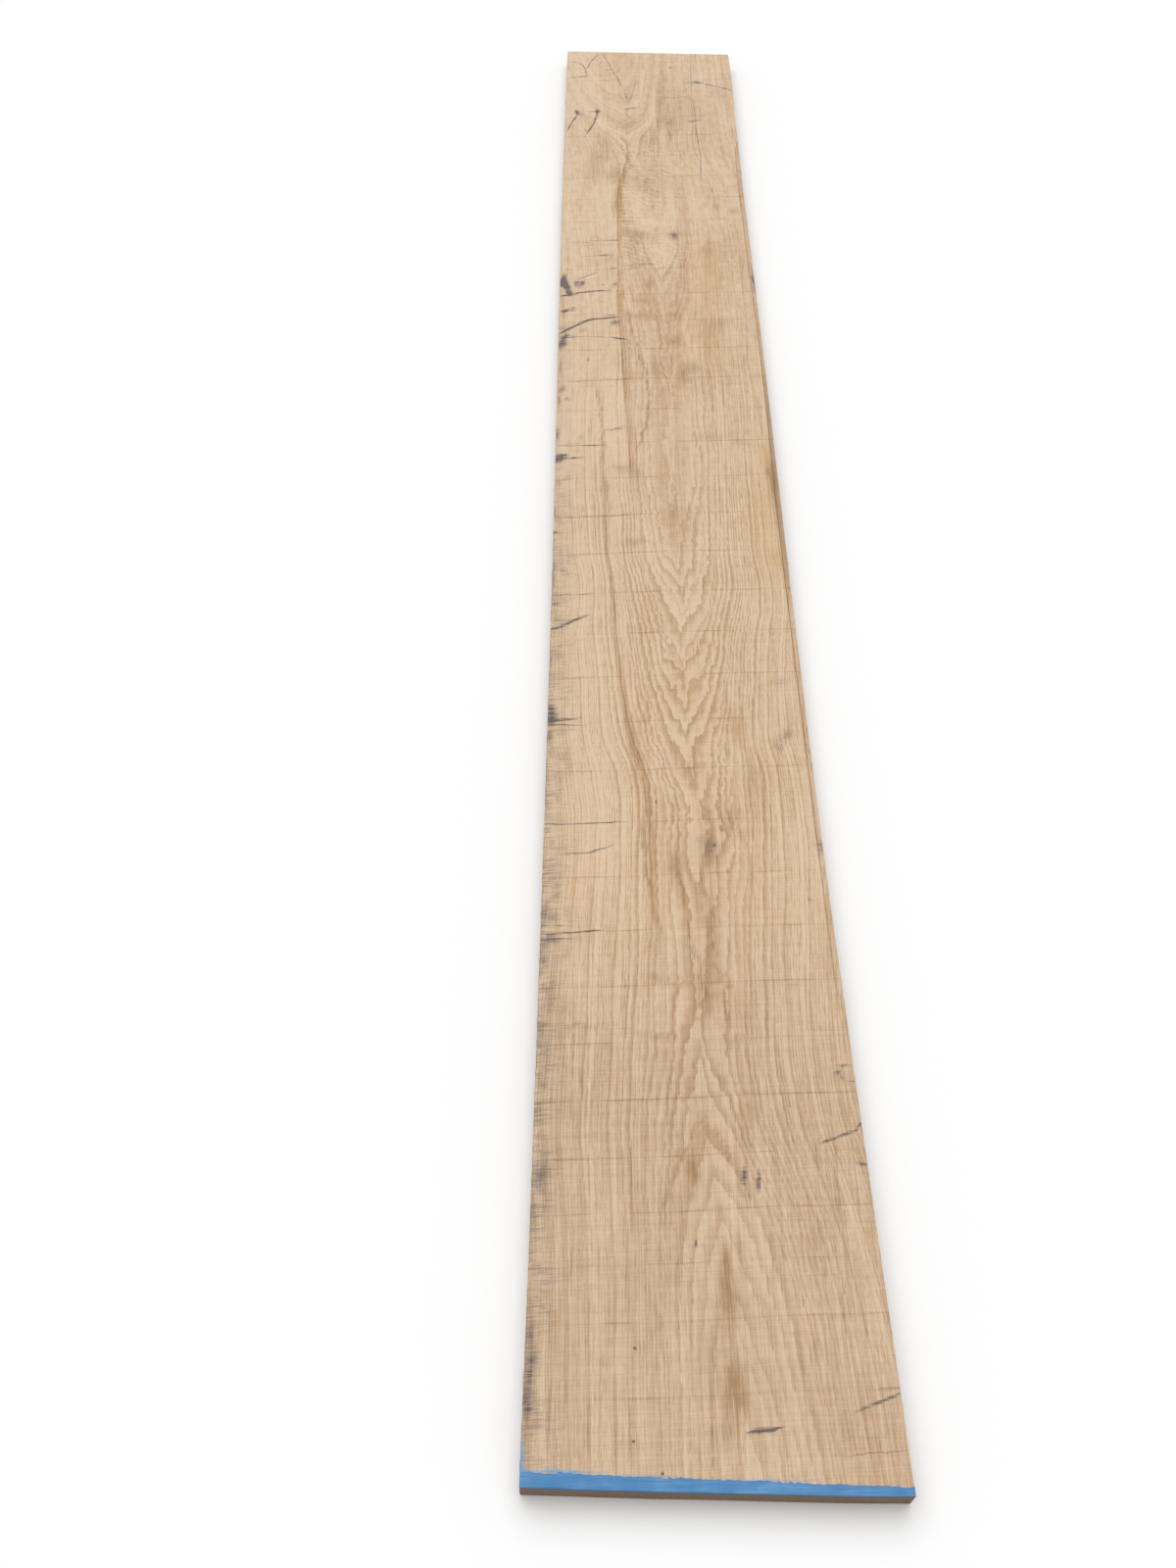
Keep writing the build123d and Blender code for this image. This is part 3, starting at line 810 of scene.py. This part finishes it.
def sound_wood(tree, wood):
    """The colour of the clean sawn oak, from light early growth to the dark lines."""
    figure = add(tree, "Math MULTIPLY", follow(tree, wood, "figure"), 0.52)
    clouds = add(tree, "Math MULTIPLY", mottle(tree, wood, "cloud"), follow(tree, wood, "cloud"))
    layers = [
        (wood.streak, follow(tree, wood, "streak")),
        (wood.hair, 0.44),
        (mottle(tree, wood, "wide streak"), 0.36),
        (wood.broad, 0.38),
        (wood.pore, 0.16),
        (wood.vessel, 0.22),
        (wood.dark_line, 0.46),
        (wood.fine_scratch, 0.22),
        (scratch(tree, wood, "coarse"), 0.14),
        (wood.saw_line, 0.30),
        (mottle(tree, wood, "patchy"), 0.30),
        (clouds, 1.0),
        (far_curl(tree, wood), -0.2),
    ]
    shade = add(tree, "Math MULTIPLY", wood.early, figure)
    for layer, weight in layers + lighter_places(tree, wood):
        shade = add(tree, "Math MULTIPLY_ADD", layer, weight, shade)
    return add(tree, "ValToRGB", shade, stops=SAWN_OAK).outputs["Color"]


def marks(tree, wood, patches, spread):
    """The sum of soft oval marks on the upper face, from a list of small patches. Those that lie
    at nearly the same angle share one turned frame."""
    total = 0.0
    spot = add(tree, "CombineXYZ", wood.across, wood.station, wood.height)
    moved = add(tree, "VectorMath MULTIPLY_ADD", spread, (4.0, 7.0, 0.0), spot)
    held, framed = None, moved
    by_angle = sorted(patches, key=lambda patch: round(patch[4] / ANGLE_STEP))
    for x, s, half_across, half_along, turned, strength in by_angle:
        degrees = round(turned / ANGLE_STEP) * ANGLE_STEP
        turn = math.radians(degrees)
        if degrees != held:
            held = degrees
            framed = add(tree, "VectorRotate", moved, (0.0, 0.0, 0.0), -turn, rotation_type="Z_AXIS")
        wide, long = half_across * PATCH_REACH, half_along * PATCH_REACH
        centre_x = x * math.cos(turn) + s * math.sin(turn)
        centre_y = s * math.cos(turn) - x * math.sin(turn)
        scale, shift = (1 / wide, 1 / long, 0.025), (-centre_x / wide, -centre_y / long, 0.0)
        local = add(tree, "VectorMath MULTIPLY_ADD", framed, scale, shift)
        oval = add(tree, "Math SUBTRACT", 1.0, add(tree, "VectorMath LENGTH", local), use_clamp=True)
        total = add(tree, "Math MULTIPLY_ADD", oval, strength * PATCH_GAIN, total)
    return total


def blemishes(tree, wood):
    """What lies on the wood, from the first to the last: each colour and how much of it shows."""
    wobble = add(tree, "TexNoise", wood.place, Scale=0.16, Detail=1.0).outputs["Color"]
    wobble = add(tree, "VectorMath SCALE", add(tree, "VectorMath SUBTRACT", wobble, (0.5, 0.5, 0.5)), 0.35)
    painted = {}
    for name in ("iron", "brown", "tan"):
        painted[name] = add(tree, "Attribute", attribute_name=name).outputs["Fac"]

    spots = marks(tree, wood, fine(IRON_PATCHES), wobble)
    streaks = marks(tree, wood, streak_patches(IRON_STREAKS), wobble)
    iron = add(tree, "Math ADD", add(tree, "Math ADD", spots, streaks), painted["iron"])
    worn = add(tree, "Math MULTIPLY", scratch(tree, wood, "over iron"), 2.8)
    grainy = add(tree, "Math ADD", add(tree, "Math MULTIPLY_ADD", wood.streak, 1.1, 0.95), worn)
    iron = add(tree, "Math MULTIPLY", iron, grainy, use_clamp=True)
    fibrous = add(tree, "Math MULTIPLY_ADD", wood.streak, 2.6, 0.9)
    fibrous = add(tree, "Math MULTIPLY_ADD", wood.hair, 1.6, fibrous)
    brown = add(tree, "Math MULTIPLY", painted["brown"], fibrous, use_clamp=True)
    brushed = add(tree, "Math MULTIPLY_ADD", scratch(tree, wood, "over sealer"), 3.0, 1.0)
    smear = add(tree, "Math MULTIPLY", marks(tree, wood, SEALER_SMEARS, wobble), brushed, use_clamp=True)
    return [
        (linear("d4a870"), follow(tree, wood, "warmth")),
        (linear("cfa673"), add(tree, "Math MULTIPLY", painted["tan"], 0.45)),
        (linear("a07c55"), add(tree, "Math MULTIPLY", brown, 0.75)),
        *wane_colours(tree, wood),
        (linear("877a6f"), weathered_edge(tree, wood)),
        (linear("514f57"), add(tree, "Math MULTIPLY", iron, 0.84)),
        (linear("7ba7ca"), smear),
    ]


def weathered_edge(tree, wood):
    """The strip along the left edge: grey, and crossed by the teeth's short scratches."""
    wander = add(tree, "Math MULTIPLY", mottle(tree, wood, "strip edge"), 46.0)
    strip = add(tree, "MapRange SMOOTHSTEP", add(tree, "Math ADD", wood.across, wander), -110, -146)
    strip = add(tree, "Math MULTIPLY", strip, follow(tree, wood, "weathered strip"))
    grouped = add(tree, "Math MULTIPLY", mottle(tree, wood, "group of teeth"), 0.6)
    teeth = add(tree, "Math ADD", scratch(tree, wood, "teeth"), grouped)
    teeth = add(tree, "MapRange SMOOTHSTEP", teeth, -0.05, 0.2)
    return add(tree, "Math MULTIPLY", strip, add(tree, "Math MULTIPLY_ADD", teeth, 0.62, 0.1))


def wane_colours(tree, wood):
    """The wane's own tone, and the dark line between it and the sawn face."""
    wane_side = add(tree, "Math SUBTRACT", wood.across, follow(tree, wood, "wane line across"))
    on_wane = add(tree, "MapRange SMOOTHSTEP", wane_side, -0.2, 0.6)
    on_wane = add(tree, "Math MULTIPLY", on_wane, follow(tree, wood, "wane"))
    tone = add(tree, "ValToRGB", wood.share, stops=WANE_TONES)
    edge = add(tree, "Math ABSOLUTE", add(tree, "Math MULTIPLY_ADD", wood.streak, 1.2, wane_side))
    edge = add(tree, "MapRange SMOOTHSTEP", edge, 1.2, 0.1)
    edge = add(tree, "Math MULTIPLY", edge, follow(tree, wood, "wane line"))
    return [(tone, on_wane), (linear("7d5f43"), edge)]


def cut_faces(tree, wood):
    """The ends, where the wood is cut short and shows darker, dusty and speckled with open pores,
    and the sides, painted browner as shade."""
    normal = add(tree, "SeparateXYZ", add(tree, "NewGeometry").outputs["Normal"])
    on_end = add(tree, "MapRange SMOOTHSTEP", add(tree, "Math ABSOLUTE", normal.outputs["Y"]), 0.6, 0.8)
    speck = add(tree, "MapRange SMOOTHSTEP", mottle(tree, wood, "end speck"), -0.1, 0.2)
    dark = add(tree, "Math MULTIPLY_ADD", wood.early, 0.5, add(tree, "Math MULTIPLY", speck, 0.5))
    end_tone = add(tree, "Mix", dark, linear("b39a84"), linear("775f4c"), data_type="RGBA")
    # Painted shade: faces that turn sideways are mixed halfway to a darker brown.
    painted_side_shade = add(tree, "MapRange SMOOTHSTEP", add(tree, "Math ABSOLUTE", normal.outputs["X"]), 0.7, 0.9)
    return [(end_tone, on_end), (linear("9c7d5e"), add(tree, "Math MULTIPLY", painted_side_shade, 0.5))]


def oak_material():
    """Oak, rough sawn and air dried. Matt, pinkish tan, with open pores and the rings' figure."""
    made, tree = new_material("oak_rough_sawn")
    wood = oak_places(tree)
    grow_rings(tree, wood)
    open_vessels(tree, wood)
    dark_lines(tree, wood)
    saw_lines(tree, wood)
    base = sound_wood(tree, wood)
    for colour, amount in blemishes(tree, wood) + cut_faces(tree, wood):
        base = add(tree, "Mix", amount, base, colour, data_type="RGBA", clamp_factor=True)

    hollow = add(tree, "Math MULTIPLY", wood.open_pore, -0.5)
    hollow = add(tree, "Math MULTIPLY_ADD", wood.fine_scratch, 1.6, hollow)
    hollow = add(tree, "Math MULTIPLY_ADD", wood.saw_line, -0.9, hollow)
    bump = add(tree, "Bump", Strength=0.7, Distance=0.0005, Height=hollow)
    surface = add(tree, "BsdfPrincipled", base, Roughness=0.86, Specular_IOR_Level=0.18, Normal=bump)
    add(tree, "OutputMaterial", surface)
    return made


def sealer_material():
    """Wax end sealer, brushed on and dried. Soft blue, a little shiny, thinner where it was drawn out, and
    painted darker blue as shade where it turns down.
    """
    made, tree = new_material("end_sealer_brushed_wax")
    place = add(tree, "TexCoord").outputs["Object"]
    brushed = add(tree, "VectorMath MULTIPLY", place, (45.0, 900.0, 300.0))
    brushed = add(tree, "TexNoise", brushed, Scale=1.0, Detail=3.0)
    blotch = add(tree, "TexNoise", place, Scale=38.0, Detail=2.0)
    tone = add(tree, "Math MULTIPLY_ADD", blotch, 0.6, add(tree, "Math MULTIPLY", brushed, 0.55))
    colour = add(tree, "ValToRGB", tone, stops=DRIED_WAX)
    # Painted shade: the coat goes to a darker blue where it turns down from the upper face.
    turned = add(tree, "SeparateXYZ", add(tree, "NewGeometry").outputs["Normal"])
    turned_down_shade = add(tree, "MapRange", turned.outputs["Z"], 0.9, 0.4, 0.0, 1.0)
    colour = add(tree, "Mix", turned_down_shade, colour.outputs["Color"], linear("1f62b4"), data_type="RGBA")
    bump = add(tree, "Bump", Strength=0.5, Distance=0.0003, Height=brushed)
    surface = add(tree, "BsdfPrincipled", colour, Roughness=0.5, Specular_IOR_Level=0.3, Normal=bump)
    add(tree, "OutputMaterial", surface)
    return made


SEALER_LEFT, SEALER_WIDTH = -150.0, 300.6
SEALER_COLUMNS = 500
# How far up the board the coat reaches, as (across, station).
SEALER_EDGE = [
    (-151, 12.5), (-140, 12.8), (-118, 12.4), (-95, 11.6), (-60, 10.4), (-30, 9.3), (0, 8.9), (35, 8.2),
    (60, 6.9), (100, 5.8), (138, 5.2), (147, 4.6), (151, 6.0),
]


def sealer_mesh():
    """The coat on the near end: a closed skin over the last millimetres of the face and down over
    the arris, with a ragged inner edge where the brush lifted off."""
    chance = random.Random(17)
    edge_across, edge_station = zip(*SEALER_EDGE)
    ragged, tongue = 0.0, 0.0
    verts, faces = [], []
    top = THICKNESS - SKIN
    rows = 11
    leftmost = float(left_edge(NEAR_STATION * MM)) + 0.3 * MM
    rightmost = float(right_edge(NEAR_STATION * MM)) - 0.2 * MM
    for column in range(SEALER_COLUMNS + 1):
        across = SEALER_LEFT + SEALER_WIDTH * column / SEALER_COLUMNS
        ragged = ragged * 0.9 + chance.uniform(-0.15, 0.15)
        tongue = max(0.0, tongue - 0.2) if chance.random() > 0.012 else chance.uniform(0.3, 1.2)
        waves = 0.35 * math.sin(across * 0.21) + 0.2 * math.sin(across * 0.83)
        inner = np.interp(across, edge_across, edge_station) + ragged + tongue + waves
        x = min(max((across + MIDDLE_ACROSS) * MM, leftmost), rightmost)
        lip = max(float(near_end(x)) + 0.05 * MM, packed_low.y)
        back = (NEAR_STATION + inner) * MM
        hang = 1.0 + 0.5 * math.sin(across * 0.11 + 1) + 0.4 * abs(ragged)
        # Down the end, round the arris, back over the face to the ragged edge, and home beneath.
        line = [(lip + 0.3 * MM, top - hang), (lip, top - hang * 0.6), (lip, top - 0.25)]
        line.append((lip + 0.15 * MM, top + 0.1))
        for i in range(1, rows):
            share = i / rows
            crest = top + 0.13 - 0.07 * share + chance.uniform(-0.02, 0.02)
            line.append((lip + (back - lip) * share, crest))
        behind = lip + 0.6 * MM
        line += [(back, top - 0.12), (back, top - 0.6), (behind, top - 0.7), (behind, top - hang)]
        start = len(verts)
        verts += [(x, y, z * MM) for y, z in line]
        count = len(line)
        if start:
            before = start - count
            for i in range(count):
                after = (i + 1) % count
                faces.append((before + i, before + after, start + after, start + i))
    faces.append(tuple(range(count)))
    faces.append(tuple(range(len(verts) - count, len(verts)))[::-1])
    mesh = bpy.data.meshes.new("end_sealer")
    mesh.from_pydata(verts, [], [face[::-1] for face in faces])
    mesh.validate()
    return mesh


oak = oak_material()
board = new_object("oak_board_sawn", board_mesh())
board.data = grown(board, sawn_relief(), {"Material": oak})
paint_patches(board.data)
board.data.set_sharp_from_angle(angle=math.radians(28))
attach(board, "root")
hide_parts("oak_board")

fibres = new_object("torn_fibres", board.data.copy())
inside = {"Low corner": packed_low, "High corner": packed_high}
fibres.data = grown(fibres, torn_fibres(), {"Material": oak, **inside})
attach(fibres, "root")

sealer = new_object("end_sealer", sealer_mesh())
sealer.data.materials.append(sealer_material())
sealer.data.shade_smooth()
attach(sealer, "root")


# Floor, light and camera.

def plain_floor():
    """A pale studio floor. It is white to the eye and throws back less than that, so that the
    board's underside and ends stay in shade."""
    half = 6.0
    corners = [(-half, -half, 0), (half, -half, 0), (half, half, 0), (-half, half, 0)]
    mesh = bpy.data.meshes.new("floor")
    mesh.from_pydata(corners, [], [(0, 1, 2, 3)])
    floor = new_object("floor", mesh)
    made, tree = new_material("floor_white_paper")
    seen = add(tree, "LightPath").outputs["Is Camera Ray"]
    tone = add(tree, "Mix", seen, linear("b0b0b0"), linear("fefefe"), data_type="RGBA")
    add(tree, "OutputMaterial", add(tree, "BsdfDiffuse", tone))
    mesh.materials.append(made)


def studio_light():
    """Soft light from above and from beyond the far end, and a weak even light all round."""
    world = bpy.data.worlds.new("studio")
    world.use_nodes = True
    tree = world.node_tree
    sky = tree.nodes["Background"]
    sky.inputs["Color"].default_value = (1.0, 1.0, 1.0, 1.0)
    seen = add(tree, "LightPath").outputs["Is Camera Ray"]
    strength = add(tree, "MapRange", seen, 0.0, 1.0, 0.5, 1.0)
    tree.links.new(strength.outputs["Result"], sky.inputs["Strength"])
    bpy.context.scene.world = world
    lamp = bpy.data.lights.new("soft_light", "SUN")
    lamp.energy = 1.75
    lamp.angle = math.radians(70)
    held = bpy.data.objects.new("soft_light", lamp)
    held.rotation_mode = "QUATERNION"
    held.rotation_quaternion = Vector((0.10, -0.42, -1.0)).to_track_quat("-Z", "Y")
    bpy.context.scene.collection.objects.link(held)


def camera():
    """The photograph's own camera."""
    data = bpy.data.cameras.new("camera")
    data.sensor_fit = "AUTO"
    data.sensor_width = SENSOR_WIDTH
    data.lens = FOCAL_PIXELS * SENSOR_WIDTH / PICTURE_HEIGHT
    data.clip_end = 50.0
    held = bpy.data.objects.new("camera", data)
    level = math.cos(CAMERA_PITCH)
    ahead, aside = math.cos(CAMERA_YAW) * level, math.sin(CAMERA_YAW) * level
    forward = Vector((aside, ahead, -math.sin(CAMERA_PITCH)))
    held.location = CAMERA_PLACE
    held.rotation_mode = "QUATERNION"
    held.rotation_quaternion = forward.to_track_quat("-Z", "Y")
    bpy.context.scene.collection.objects.link(held)
    bpy.context.scene.camera = held


plain_floor()
studio_light()
camera()
bpy.context.scene.view_settings.view_transform = "Standard"
